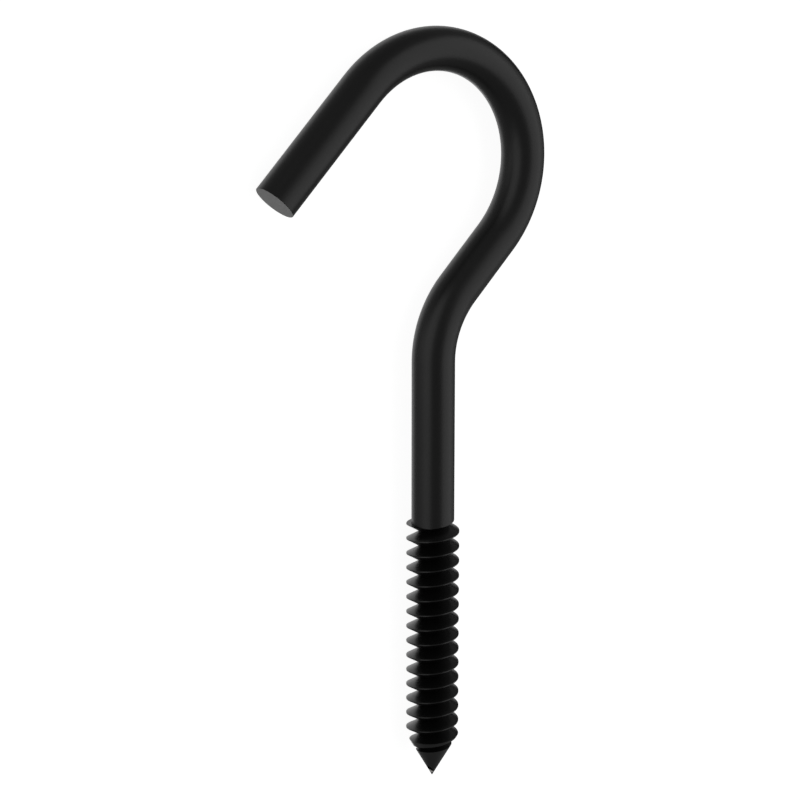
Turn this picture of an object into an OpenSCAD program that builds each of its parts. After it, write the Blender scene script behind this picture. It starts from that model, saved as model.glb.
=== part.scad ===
// Screw hook: one length of round steel wire, threaded to a point at one end
// and bent to an open hook at the other.
// It lies flat. The screw's axis is Y, the hook's plane is XY, and the origin is on
// the axis where the thread's shoulder meets the plain shank. The point is at -Y.

/* [Wire] */
// Diameter of the wire
wire_d = 7.94; // [6:0.01:10]
// Chamfer round the cut end of the wire
end_chamfer = 0.05; // [0.05:0.01:1]

/* [Hook] */
// Straight shank between the shoulder and the offset bend
shank_length = 30.7; // [10:0.1:90]
// Radius of the offset bend, to the middle of the wire
offset_bend_r = 18.5; // [8:0.1:30]
// Angle of the offset bend
offset_bend_angle = 45; // [30:1:60]
// Straight link between the offset bend and the bowl
link_length = 12; // [4:0.1:30]
// Radius of the bowl, to the middle of the wire
bowl_r = 20.8; // [14:0.1:40]
// Angle that the bowl turns through
bowl_angle = 180; // [150:1:200]
// Straight leg between the bowl and the cut end
tip_length = 25.8; // [5:0.1:35]

/* [Thread] */
// Outside diameter of the thread
thread_d = 9.85; // [9:0.01:11]
// Length from the shoulder to the point
thread_length = 49.9; // [25:0.1:90]
// Rise of the thread in one turn
pitch = 2.86; // [2.2:0.01:3.4]
// Width of the flat left on the crest
crest_flat = 0.2; // [0.1:0.01:0.5]
// Angle between the two flanks of the groove
groove_angle = 60; // [55:1:70]
// Angle of the cone at the point
point_angle = 60; // [40:1:90]
// Where the groove crosses the shoulder, turned about the axis from +X
groove_start = -36; // [-180:1:180]
// Turn past the shoulder for which the groove keeps its full depth
full_depth_angle = 55; // [0:1:90]
// Turn over which the groove then runs out into the shank
runout_angle = 95; // [60:1:200]

/* [Nick in the point] */
// Height of the nick above the point
nick_height = 1.16; // [1:0.01:2]
// Distance from the axis to the bottom of the nick
nick_reach = 0.4; // [0.3:0.01:0.5]
// Slope of the nick across the point
nick_slope = 30; // [0:1:40]

/* [Hidden] */

wire_r = wire_d / 2;
thread_r = thread_d / 2;
groove_slope = tan(groove_angle / 2);
root_r = thread_r - (pitch - crest_flat) / 2 / groove_slope;
cone_h = thread_r / tan(point_angle / 2);
cutter_r = thread_r + 0.1;         // the cutter reaches a little past the crest
runout_start = groove_start + full_depth_angle;
cutter_top = runout_start + runout_angle;
cutter_end_z = -thread_length + root_r / tan(point_angle / 2) - pitch;
step = 7.5;                        // degrees between two sections of the cutter
steps = ceil((cutter_top - groove_start - 360 * cutter_end_z / pitch) / step);
wire_fn = 72;
bend_swell = 0.005;                // the bends are this much thicker in radius, and each
overlap = 0.05;                    // straight starts this far inside the piece before it

// Section i of the cutter: its root point and two outer points, in the radial plane.
function cutter_section(i) =
    let (
        angle = cutter_top - i * step,
        z = pitch * (angle - groove_start) / 360,
        lift = max(0, (angle - runout_start) / runout_angle),
        tip_r = root_r + lift * (wire_r + 0.2 - root_r),
        half = (cutter_r - tip_r) * groove_slope
    )
    [for (p = [[tip_r, 0], [cutter_r, half], [cutter_r, -half]])
        [p.x * cos(angle), p.x * sin(angle), z + p.y]];

// Both triangles of side k between sections i and i + 1.
function cutter_side(i, k) =
    let (a = 3 * i + k, b = 3 * i + (k + 1) % 3)
    [[a, b, b + 3], [a, b + 3, a + 3]];

// The V-shaped cutter, swept down the right-handed helix of the groove.
module groove_cutter() {
    points = [for (i = [0:steps]) each cutter_section(i)];
    sides = [for (i = [0:steps - 1], k = [0:2]) each cutter_side(i, k)];
    last = 3 * steps;
    polyhedron(points, concat([[0, 2, 1]], sides, [[last, last + 1, last + 2]]));
}

// A nick in one side of the point: a straight cut with a steep lower face and an
// upper face that leans out.
module point_nick() {
    translate([0, 0, nick_height - thread_length]) rotate([0, nick_slope, -35])
        rotate([90, 0, 90]) linear_extrude(2.6, center = true)
            polygon([
                [-nick_reach, 0],
                [-nick_reach - 0.9, 0.73],
                [-nick_reach - 0.9, -0.9],
                [-nick_reach - 0.27, -0.9],
            ]);
}

// Round bar from the shoulder down to the point, before it is threaded.
module thread_blank() {
    difference() {
        rotate_extrude($fn = wire_fn)
            polygon([
                [0, -thread_length],
                [thread_r, cone_h - thread_length],
                [thread_r, 0],
                [0, 0],
            ]);
        point_nick();
    }
}

// A straight length of wire; what follows it is drawn at its far end.
module straight(length) {
    translate([0, 0, -overlap]) cylinder(h = length + overlap, r = wire_r, $fn = wire_fn);
    translate([0, 0, length]) children();
}

// A bend towards +X, or towards -X where the angle is negative; what follows it
// is drawn at its end.
module bend(radius, angle) {
    centre = sign(angle) * radius;
    rotate([0, 0, angle > 0 ? 180 : 0]) translate([-radius, 0, 0]) rotate([90, 0, 0])
        rotate_extrude(angle = abs(angle), $fn = wire_fn)
            translate([radius, 0]) circle(r = wire_r + bend_swell, $fn = wire_fn);
    translate([centre, 0, 0]) rotate([0, angle, 0]) translate([-centre, 0, 0]) children();
}

// The straight leg with its sawn, lightly chamfered end.
module tip_leg() {
    straight(tip_length - end_chamfer)
        cylinder(h = end_chamfer, r1 = wire_r, r2 = wire_r - end_chamfer, $fn = wire_fn);
}

// The threaded end and the straight shank, with the groove cut through both.
module screw() {
    difference() {
        union() {
            thread_blank();
            straight(shank_length);
        }
        groove_cutter();
    }
}

module screw_hook() {
    color("#1c1c1c") rotate([-90, 0, 0]) {
        screw();
        translate([0, 0, shank_length])
            bend(offset_bend_r, offset_bend_angle)
                straight(link_length)
                    bend(bowl_r, -bowl_angle)
                        tip_leg();
    }
}

screw_hook();
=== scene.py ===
import math

import bmesh
import bpy
import numpy as np
from mathutils import Matrix, Vector


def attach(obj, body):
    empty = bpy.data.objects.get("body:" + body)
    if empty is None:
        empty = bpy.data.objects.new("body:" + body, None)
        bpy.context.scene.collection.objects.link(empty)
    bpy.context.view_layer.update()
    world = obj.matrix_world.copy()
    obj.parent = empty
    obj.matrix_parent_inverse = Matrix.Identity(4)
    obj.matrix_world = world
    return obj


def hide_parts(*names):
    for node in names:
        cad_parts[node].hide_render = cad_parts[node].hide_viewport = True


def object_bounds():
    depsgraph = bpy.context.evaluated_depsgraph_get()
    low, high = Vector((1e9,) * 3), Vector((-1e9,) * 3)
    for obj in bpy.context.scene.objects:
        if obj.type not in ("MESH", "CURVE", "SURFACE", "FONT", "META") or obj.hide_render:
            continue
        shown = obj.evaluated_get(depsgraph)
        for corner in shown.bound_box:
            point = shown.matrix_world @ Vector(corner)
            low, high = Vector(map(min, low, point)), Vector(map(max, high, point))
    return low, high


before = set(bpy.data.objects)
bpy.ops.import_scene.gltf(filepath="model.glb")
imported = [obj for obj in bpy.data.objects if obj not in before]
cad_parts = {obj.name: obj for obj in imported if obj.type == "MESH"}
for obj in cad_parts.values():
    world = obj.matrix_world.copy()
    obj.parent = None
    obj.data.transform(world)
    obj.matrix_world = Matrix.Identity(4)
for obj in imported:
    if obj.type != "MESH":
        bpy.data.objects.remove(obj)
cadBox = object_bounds()
mm = 0.001

# what a user would change in the wire and its bends, in millimetres and degrees
wire = {
    "diameter": 7.94,
    "endChamfer": 0.05,      # the cut end's edge is only just broken
    "shankLength": 30.7,     # shoulder to the offset bend
    "offsetRadius": 18.5,
    "offsetAngle": 45.0,
    "linkLength": 12.0,
    "bowlRadius": 20.8,
    "bowlAngle": 180.0,
    "tipLength": 25.8,       # bowl to the cut end
    "around": 128,           # points round the wire
    "bendStep": 2.25,        # degrees between two rings in a bend
    "shoulderRing": 4.0,     # a ring this far above the shoulder keeps the faces there short
    "crispAngle": 28.0,      # an edge that turns more than this is drawn crisp
}

# the threaded end; the groove is a V that follows a right-handed helix
thread = {
    "diameter": 9.85,
    "length": 49.9,          # shoulder to the point
    "pitch": 2.86,
    "crestFlat": 0.2,
    "grooveAngle": 60.0,
    "pointAngle": 60.0,
    "grooveStart": -36.0,    # where it crosses the shoulder, about the axis from +X towards -Z
    "fullDepthAngle": 55.0,  # turn past the shoulder at full depth
    "runoutAngle": 95.0,     # turn over which the groove then comes out of the shank
    "step": 3.0,             # degrees between two sections of the groove
    "cutterProud": 0.1,      # how far its cutter stands out past the crests
    "cutterClear": 0.2,      # and how far off the shank its root ends
}

# a nick across one side of the point, through the coating to the steel
nick = {
    "height": 0.92,          # of its root, above the point
    "reach": 0.26,           # from the axis to its root
    "rise": 1.0,             # of its upper wall, for each millimetre outwards
    "fall": 2.3,             # and of its lower wall
    "slope": 28.0,
    "turn": -44.0,           # about the axis, from +X
    "outwards": 0.9,         # its cutter goes this far out from the root,
    "sideways": 1.3,         # and this far along it either way
}


# an sRGB hex colour as linear red, green, blue and alpha
def linear(code):
    values = [int(code[i:i + 2], 16) / 255 for i in (1, 3, 5)]
    return [v / 12.92 if v <= 0.04045 else ((v + 0.055) / 1.055) ** 2.4 for v in values] + [1.0]


# adds one node with its settings, socket values and incoming links
def addNode(tree, kind, values=None, links=None, **settings):
    made = tree.nodes.new(kind)
    for name, value in settings.items():
        setattr(made, name, value)
    for socket, value in (values or {}).items():
        made.inputs[socket].default_value = value
    for socket, source in (links or {}).items():
        tree.links.new(source, made.inputs[socket])
    return made


# an empty node material
def newMaterial(name):
    material = bpy.data.materials.new(name)
    material.use_nodes = True
    material.node_tree.nodes.clear()
    return material, material.node_tree


# a noise whose bumps are size millimetres across, and a bump map of it, height millimetres
# high at a strength of 1: scale = 1 / size
def fineGrain(tree, place, size, height, strength):
    noise = addNode(tree, "ShaderNodeTexNoise", {"Scale": 1 / (size * mm), "Detail": 2.0},
                    {"Vector": place.outputs["Object"]})
    bump = addNode(tree, "ShaderNodeBump", {"Strength": strength, "Distance": height * mm},
                   {"Height": noise.outputs[0]})
    return noise, bump


# black oven-baked coating on steel wire: a dark satin gloss, neutral in hue, with the
# faint orange peel and the fine grain that such a thin film keeps; on the rolled thread
# the steel under it is smoother, so the film is a little glossier from the shoulder down
coat = {
    "colour": "#060606",
    "ior": 1.5,
    "roughness": 0.36,
    "threadRoughness": 0.31,
    "mottle": 0.03,          # how much the roughness wanders either way
    "shoulder": 0.1,         # millimetres along the axis at which the thread's film ends
    "grain": 0.4,            # the real grain is finer: this is as coarse as it needs to show
    "grainHeight": 0.02,     # both in millimetres
    "grainStrength": 0.05,
}


# roughness = the film's own, by height along the axis, + mottle * noise
def blackCoating():
    c = coat
    material, tree = newMaterial("satinBlackCoating")
    place = addNode(tree, "ShaderNodeTexCoord")
    grain, bump = fineGrain(tree, place, c["grain"], c["grainHeight"], c["grainStrength"])
    height = addNode(tree, "ShaderNodeSeparateXYZ", links={"Vector": place.outputs["Object"]})
    film = addNode(tree, "ShaderNodeMapRange",
                   {"From Min": c["shoulder"] * mm, "From Max": 2 * c["shoulder"] * mm,
                    "To Min": c["threadRoughness"], "To Max": c["roughness"]},
                   {"Value": height.outputs["Y"]})
    # the noise lies almost wholly between 0.3 and 0.7
    mottle = addNode(tree, "ShaderNodeMapRange",
                     {"From Min": 0.3, "From Max": 0.7,
                      "To Min": -c["mottle"], "To Max": c["mottle"]},
                     {"Value": grain.outputs[0]})
    rough = addNode(tree, "ShaderNodeMath", operation="ADD",
                    links={0: film.outputs[0], 1: mottle.outputs[0]})
    shader = addNode(tree, "ShaderNodeBsdfPrincipled",
                     {"Base Color": linear(c["colour"]), "IOR": c["ior"]},
                     {"Roughness": rough.outputs[0], "Normal": bump.outputs[0]})
    addNode(tree, "ShaderNodeOutputMaterial", links={"Surface": shader.outputs[0]})
    return material


# both finishes in the nick are torn into ridges, in millimetres
torn = {
    "ridge": 1 / 6,          # across one of them
    "height": 0.02,
    "strength": 0.2,
}


# a finish on torn metal, uniform but for its ridges, with the shader's values as given
def tornFinish(name, values):
    material, tree = newMaterial(name)
    place = addNode(tree, "ShaderNodeTexCoord")
    bump = fineGrain(tree, place, torn["ridge"], torn["height"], torn["strength"])[1]
    shader = addNode(tree, "ShaderNodeBsdfPrincipled", values, {"Normal": bump.outputs[0]})
    addNode(tree, "ShaderNodeOutputMaterial", links={"Surface": shader.outputs[0]})
    return material


# mild steel where the coating is chipped off: bright grey metal with a torn, dull gloss
def bareSteel():
    return tornFinish("bareMildSteel", {
        "Base Color": linear("#dddcd8"), "Metallic": 1.0, "Roughness": 0.42})


# painted shade on the nick's upper wall: a matt, near-black finish that stands for the shade
# deep in the recess, so that it looks like a hole
def paintedShadeFinish():
    return tornFinish("paintedShadeMatt", {
        "Base Color": linear("#020202"), "Roughness": 0.9, "Specular IOR Level": 0.1})


# a mesh object from arrays: points is n x 3, faces is a list of index tuples
def meshFrom(name, points, faces):
    mesh = bpy.data.meshes.new(name)
    mesh.from_pydata(points.tolist(), [], faces)
    mesh.validate()
    piece = bpy.data.objects.new(name, mesh)
    bpy.context.scene.collection.objects.link(piece)
    return piece


# quads between neighbouring rings of points, closed round each ring:
# (i, j), (i, j + 1), (i + 1, j + 1), (i + 1, j)
def gridFaces(rings, around):
    i, j = np.meshgrid(np.arange(rings - 1), np.arange(around), indexing="ij")
    k = (j + 1) % around
    near, far = i * around, (i + 1) * around
    return np.stack([near + j, near + k, far + k, far + j], -1).reshape(-1, 4)


# the rings of a bend that starts at x, y with a heading; a positive angle turns towards +X:
# centre + radius * (-sin, cos) of each ring's heading, on the side it turns to
def bendRings(x, y, heading, radius, angle):
    side = 1 if angle > 0 else -1
    start = math.radians(heading)
    centreX = x + side * radius * math.sin(start)
    centreY = y - side * radius * math.cos(start)
    count = int(round(abs(angle) / wire["bendStep"]))
    q = start - side * np.radians(np.linspace(0, abs(angle), count + 1))
    return np.stack([centreX - side * radius * np.sin(q), centreY + side * radius * np.cos(q),
                     np.degrees(q), np.full(len(q), wire["diameter"] / 2)], -1)


# place, heading and radius of every ring from the point to the cut end: the path is
# straight pieces and arcs in one plane, and the radius is that of a turned profile, with
# a cone, the threaded part, a step down to the wire, and the cut end
def wirePath():
    w, t = wire, thread
    r, crest = w["diameter"] / 2, t["diameter"] / 2
    slope = math.tan(math.radians(t["pointAngle"] / 2))
    # rings on the cone, closer together towards the point
    share = np.array([0.004, 0.02, 0.05, 0.1, 0.18, 0.28, 0.4, 0.55, 0.7, 0.85, 1.0])
    heights = crest / slope * share
    profile = [(-t["length"] + h, h * slope) for h in heights]
    profile += [(0.0, crest), (0.0, r), (w["shoulderRing"], r), (w["shankLength"] / 2, r)]
    shank = np.array([(0.0, y, 90.0, radius) for y, radius in profile])

    offset = bendRings(0.0, w["shankLength"], 90.0, w["offsetRadius"], w["offsetAngle"])
    x, y, heading = offset[-1, :3]
    x += w["linkLength"] * math.cos(math.radians(heading))
    y += w["linkLength"] * math.sin(math.radians(heading))
    bowl = bendRings(x, y, heading, w["bowlRadius"], -w["bowlAngle"])
    x, y, heading = bowl[-1, :3]
    ahead = math.cos(math.radians(heading)), math.sin(math.radians(heading))
    # how far along the leg, and the radius there; the last ring lies on the cut face
    leg = np.array([(x + d * ahead[0], y + d * ahead[1], heading, radius) for d, radius in (
        (w["tipLength"] / 2, r),
        (w["tipLength"] - w["endChamfer"], r),
        (w["tipLength"], r - w["endChamfer"]),
        (w["tipLength"], r / 2),
    )])
    return np.concatenate([shank, offset, bowl, leg])


# a circle of changing radius carried along the path, closed by a fan at either end:
# centre + radius * (cos a * side + sin a * up)
def bentWire():
    path = wirePath()
    n = wire["around"]
    a = np.linspace(0, 2 * np.pi, n, endpoint=False)
    heading = np.radians(path[:, 2])
    side = np.stack([np.sin(heading), -np.cos(heading), np.zeros(len(path))], -1)
    centre = np.stack([path[:, 0], path[:, 1], np.zeros(len(path))], -1)
    up = np.array([0, 0, 1.0])
    rings = centre[:, None] + path[:, 3, None, None] * (
        np.cos(a)[None, :, None] * side[:, None] + np.sin(a)[None, :, None] * up)
    points = rings.reshape(-1, 3)
    ends = np.array([[0, -thread["length"], 0], centre[-1]])
    first, last = len(points), len(points) + 1
    base = (len(path) - 1) * n
    j = np.arange(n)
    k = (j + 1) % n
    faces = gridFaces(len(path), n).tolist()
    faces += np.stack([np.full(n, first), k, j], -1).tolist()
    faces += np.stack([np.full(n, last), base + j, base + k], -1).tolist()
    return meshFrom("screw_hook_wire", np.concatenate([points, ends]) * mm, faces)


# a V section carried down a helix, height = pitch * turn: for each angle, one root point
# and two outer points in the radial plane; near its top end the root lifts until it is
# clear of the shank
def grooveCutter():
    t = thread
    crest = t["diameter"] / 2
    slope = math.tan(math.radians(t["grooveAngle"] / 2))
    root = crest - (t["pitch"] - t["crestFlat"]) / 2 / slope
    outer = crest + t["cutterProud"]
    fullDepth = t["grooveStart"] + t["fullDepthAngle"]
    top = fullDepth + t["runoutAngle"]
    # it goes on for one pitch below the place where its root meets the cone
    coneMeetsRoot = root / math.tan(math.radians(t["pointAngle"] / 2)) - t["length"]
    bottom = t["grooveStart"] + 360 / t["pitch"] * (coneMeetsRoot - t["pitch"])
    count = int(math.ceil((top - bottom) / t["step"])) + 1
    angle = np.linspace(top, bottom, count)
    z = t["pitch"] * (angle - t["grooveStart"]) / 360
    lift = np.clip((angle - fullDepth) / t["runoutAngle"], 0, None)
    tip = root + lift * (wire["diameter"] / 2 + t["cutterClear"] - root)
    half = (outer - tip) * slope
    radius = np.stack([tip, np.full(count, outer), np.full(count, outer)], -1)
    height = np.stack([z, z + half, z - half], -1)
    a = np.radians(angle)[:, None]
    # the screw's axis is Y, and its angles run from +X towards -Z
    points = np.stack([radius * np.cos(a), height, -radius * np.sin(a)], -1).reshape(-1, 3)
    i, k = np.meshgrid(np.arange(count - 1), np.arange(3), indexing="ij")
    p, q = 3 * i + k, 3 * i + (k + 1) % 3
    halves = [np.stack([p, q, q + 3], -1), np.stack([p, q + 3, p + 3], -1)]
    last = 3 * (count - 1)
    faces = np.stack(halves, -2).reshape(-1, 3).tolist()
    faces += [[0, 2, 1], [last, last + 1, last + 2]]
    return meshFrom("groove_cutter", points * mm, faces)


# a V section at both ends of a straight line across the point:
# centre + along * line + out * outward + height * across;
# its faces are the two ends, the upper wall, the outer side and the lower wall
def nickCutter():
    n = nick
    turn, tilt = math.radians(n["turn"]), math.radians(n["slope"])
    axis = np.array([0, 1.0, 0])
    level = np.array([math.cos(turn), 0, -math.sin(turn)])
    outward = np.array([math.sin(turn), 0, math.cos(turn)])
    line = math.cos(tilt) * level - math.sin(tilt) * axis
    across = math.sin(tilt) * level + math.cos(tilt) * axis
    out = n["outwards"]
    section = np.array([[0, 0], [out, out * n["rise"]], [out, -out * n["fall"]]])
    section += [n["reach"], 0]
    centre = (n["height"] - thread["length"]) * axis
    flat = section[:, :1] * outward + section[:, 1:] * across
    points = np.concatenate([centre + flat - n["sideways"] * line,
                             centre + flat + n["sideways"] * line])
    faces = [[0, 1, 2], [5, 4, 3], [0, 3, 4, 1], [1, 4, 5, 2], [2, 5, 3, 0]]
    return meshFrom("nick_cutter", points * mm, faces)


# turns every face outwards
def outwards(piece):
    bm = bmesh.new()
    bm.from_mesh(piece.data)
    bmesh.ops.recalc_face_normals(bm, faces=bm.faces)
    bm.to_mesh(piece.data)
    bm.free()


# takes the cutter out of the piece, with the cutter's finish left on the cut, and
# throws the cutter away
def cutAway(piece, cutter):
    cut = piece.modifiers.new("cut", "BOOLEAN")
    cut.operation, cut.solver, cut.object = "DIFFERENCE", "EXACT", cutter
    cut.material_mode = "TRANSFER"
    graph = bpy.context.evaluated_depsgraph_get()
    mesh = bpy.data.meshes.new_from_object(piece.evaluated_get(graph))
    piece.modifiers.clear()
    piece.data = mesh
    bpy.data.objects.remove(cutter)


# smooth shading, with edges kept crisp where two faces meet at more than the limit
def smoothUpTo(piece, limit):
    mesh = piece.data
    mesh.polygons.foreach_set("use_smooth", np.ones(len(mesh.polygons), bool))
    mesh.set_sharp_from_angle(angle=math.radians(limit))


coating, steel, nickShade = blackCoating(), bareSteel(), paintedShadeFinish()
# the third of these, printed as mill scale, is painted shade for the nick's recess
print("coating, bare steel and mill scale")

hook = bentWire()
groove = grooveCutter()
chip = nickCutter()
for piece in (hook, groove, chip):
    outwards(piece)
    piece.data.materials.append(coating)
chip.data.materials.append(steel)
chip.data.materials.append(nickShade)
chip.data.polygons[2].material_index = 2    # the nick's upper wall is painted shade,
chip.data.polygons[4].material_index = 1    # and its lower wall bare steel
cutAway(hook, groove)
cutAway(hook, chip)
smoothUpTo(hook, wire["crispAngle"])
hook.name = "blackWireHook"
print("wire and thread", len(hook.data.polygons), "faces")
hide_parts("screw_hook")
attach(hook, "root")


# the floor and how bright it looks, directly and in a reflection
ground = {
    "half": 3.0,             # metres from its middle to an edge
    "matt": "#a0a0a0",
    "glow": 0.92,            # what it adds of its own to a direct view
    "mirrored": 0.172,       # how bright a reflection shows it outside every zone
    "ambient": 0.196,        # and how bright the surroundings light and look there
}

# painted highlights and painted shade on the floor, which only a reflection shows: what each one
# adds, the direction from the object to its middle, and how near to that, as two cosines, it
# begins and is full
zones = {
    "paintedLitSide": {"adds": 0.116, "toward": (-0.561, 0.248, -0.790), "edge": (0, 1),
                "shape": "LINEAR"},
    "paintedUnderHighlight": {"adds": 0.613, "toward": (0.240, 0.129, -0.962), "edge": (0.743, 0.763)},
    "paintedCutEndHighlight": {"adds": 0.547, "toward": (0.390, -0.487, -0.782), "edge": (0.970, 0.990)},
    "paintedLeftBoxReflection": {"adds": 0.379, "toward": (-0.989, 0.016, -0.147), "edge": (0.860, 1.029)},
    "paintedShadePatch": {"adds": -0.185, "toward": (0.894, 0.059, -0.444), "edge": (0.866, 0.953)},
}


# matt white board with a glow of its own, so that it stays white and keeps a soft shadow;
# a reflection meets it as a grey floor with painted highlights and painted shade in zones round
# the object: mirrored + the sum of each zone's adds * share, where the share goes from 0 to 1 as
# the cosine goes from the zone's first edge to its second; at a Blend of 0.5, Facing is
# 1 - cosine
def paleFloor():
    g = ground
    material, tree = newMaterial("paleFloor")
    path = addNode(tree, "ShaderNodeLightPath")
    bounced = addNode(tree, "ShaderNodeMath", operation="MAXIMUM",
                      links={0: path.outputs["Is Glossy Ray"],
                             1: path.outputs["Is Transmission Ray"]})
    matt = addNode(tree, "ShaderNodeBsdfDiffuse", {"Color": linear(g["matt"])})
    own = addNode(tree, "ShaderNodeMath", {1: g["glow"]}, {0: path.outputs["Is Camera Ray"]},
                  operation="MULTIPLY")
    glow = addNode(tree, "ShaderNodeEmission", links={"Strength": own.outputs[0]})
    direct = addNode(tree, "ShaderNodeAddShader", links={0: matt.outputs[0], 1: glow.outputs[0]})

    level = addNode(tree, "ShaderNodeValue")
    level.outputs[0].default_value = g["mirrored"]
    # each zone paints a highlight into the floor as a reflection sees it, or painted shade where
    # its adds is negative
    for zone in zones.values():
        aim = addNode(tree, "ShaderNodeCombineXYZ", dict(zip("XYZ", zone["toward"])))
        near = addNode(tree, "ShaderNodeLayerWeight", {"Blend": 0.5}, {"Normal": aim.outputs[0]})
        begins, full = zone["edge"]
        part = addNode(tree, "ShaderNodeMapRange",
                       {"From Min": 1 - begins, "From Max": 1 - full,
                        "To Min": 0.0, "To Max": zone["adds"]},
                       {"Value": near.outputs["Facing"]},
                       interpolation_type=zone.get("shape", "SMOOTHSTEP"))
        level = addNode(tree, "ShaderNodeMath", operation="ADD",
                        links={0: level.outputs[0], 1: part.outputs[0]})
    mirrored = addNode(tree, "ShaderNodeEmission", links={"Strength": level.outputs[0]})
    pick = addNode(tree, "ShaderNodeMixShader",
                   links={0: bounced.outputs[0], 1: direct.outputs[0], 2: mirrored.outputs[0]})
    addNode(tree, "ShaderNodeOutputMaterial", links={"Surface": pick.outputs[0]})
    return material


low, half = cadBox[0][2], ground["half"]
corners = [[-half, -half, low], [half, -half, low], [half, half, low], [-half, half, low]]
floorMesh = meshFrom("floor", np.array(corners), [[0, 1, 2, 3]])
floorMesh.data.materials.append(paleFloor())


# the surroundings: white to look at, and dim as a light and in a reflection
def studioWorld():
    world = bpy.data.worlds.new("studio")
    world.use_nodes = True
    tree = world.node_tree
    tree.nodes.clear()
    path = addNode(tree, "ShaderNodeLightPath")
    seen = addNode(tree, "ShaderNodeMath", operation="MAXIMUM",
                   links={0: path.outputs["Is Camera Ray"],
                          1: path.outputs["Is Transmission Ray"]})
    bright = addNode(tree, "ShaderNodeBackground", {"Color": linear("#ffffff"), "Strength": 1.0})
    dim = addNode(tree, "ShaderNodeBackground",
                  {"Color": linear("#ffffff"), "Strength": ground["ambient"]})
    pick = addNode(tree, "ShaderNodeMixShader",
                   links={0: seen.outputs[0], 1: dim.outputs[0], 2: bright.outputs[0]})
    addNode(tree, "ShaderNodeOutputWorld", links={"Surface": pick.outputs[0]})
    return world


bpy.context.scene.world = studioWorld()

# soft boxes that face the shank, in metres; brightness is that of the face, where 1 is white
lamps = {
    "rightBox": {"toward": (0.684, 0.130, 0.704), "distance": 0.7,
                 "width": 1.168, "height": 0.972, "brightness": 0.636},
    "leftBox": {"toward": (-0.920, 0.140, 0.367), "distance": 0.7,
                "width": 0.994, "height": 0.551, "brightness": 0.587},
}
lampTarget = Vector((0, 0.03, 0))


# one soft box: power = pi * brightness * area
def softLight(name, lamp):
    toward = Vector(lamp["toward"]).normalized()
    data = bpy.data.lights.new(name, "AREA")
    data.shape, data.size, data.size_y = "RECTANGLE", lamp["width"], lamp["height"]
    data.energy = lamp["brightness"] * math.pi * lamp["width"] * lamp["height"]
    light = bpy.data.objects.new(name, data)
    turn = toward.to_track_quat("Z", "Y").to_matrix().to_4x4()
    light.matrix_world = Matrix.Translation(lampTarget + toward * lamp["distance"]) @ turn
    bpy.context.scene.collection.objects.link(light)


for name, lamp in lamps.items():
    softLight(name, lamp)

# camera: the way it looks, which way up it is, and where it stands, in metres
view = {
    "forward": (0.55520, -0.24653, -0.79434),
    "up": (0.14118, 0.96913, -0.20211),
    "place": (-0.26714, 0.13997, 0.37159),
    "lens": 116.093,
    "sensor": 36.0,
    "nearest": 0.01,
}
camera = bpy.data.objects.new("camera", bpy.data.cameras.new("camera"))
camera.data.sensor_width = view["sensor"]
camera.data.lens = view["lens"]
camera.data.clip_start = view["nearest"]
forward = Vector(view["forward"]).normalized()
right = forward.cross(Vector(view["up"])).normalized()
up = right.cross(forward)
turn = Matrix((right, up, -forward)).transposed().to_4x4()
camera.matrix_world = Matrix.Translation(view["place"]) @ turn
bpy.context.scene.collection.objects.link(camera)
bpy.context.scene.camera = camera

print("floor, light and camera")

bpy.context.scene.view_settings.view_transform = "Standard"
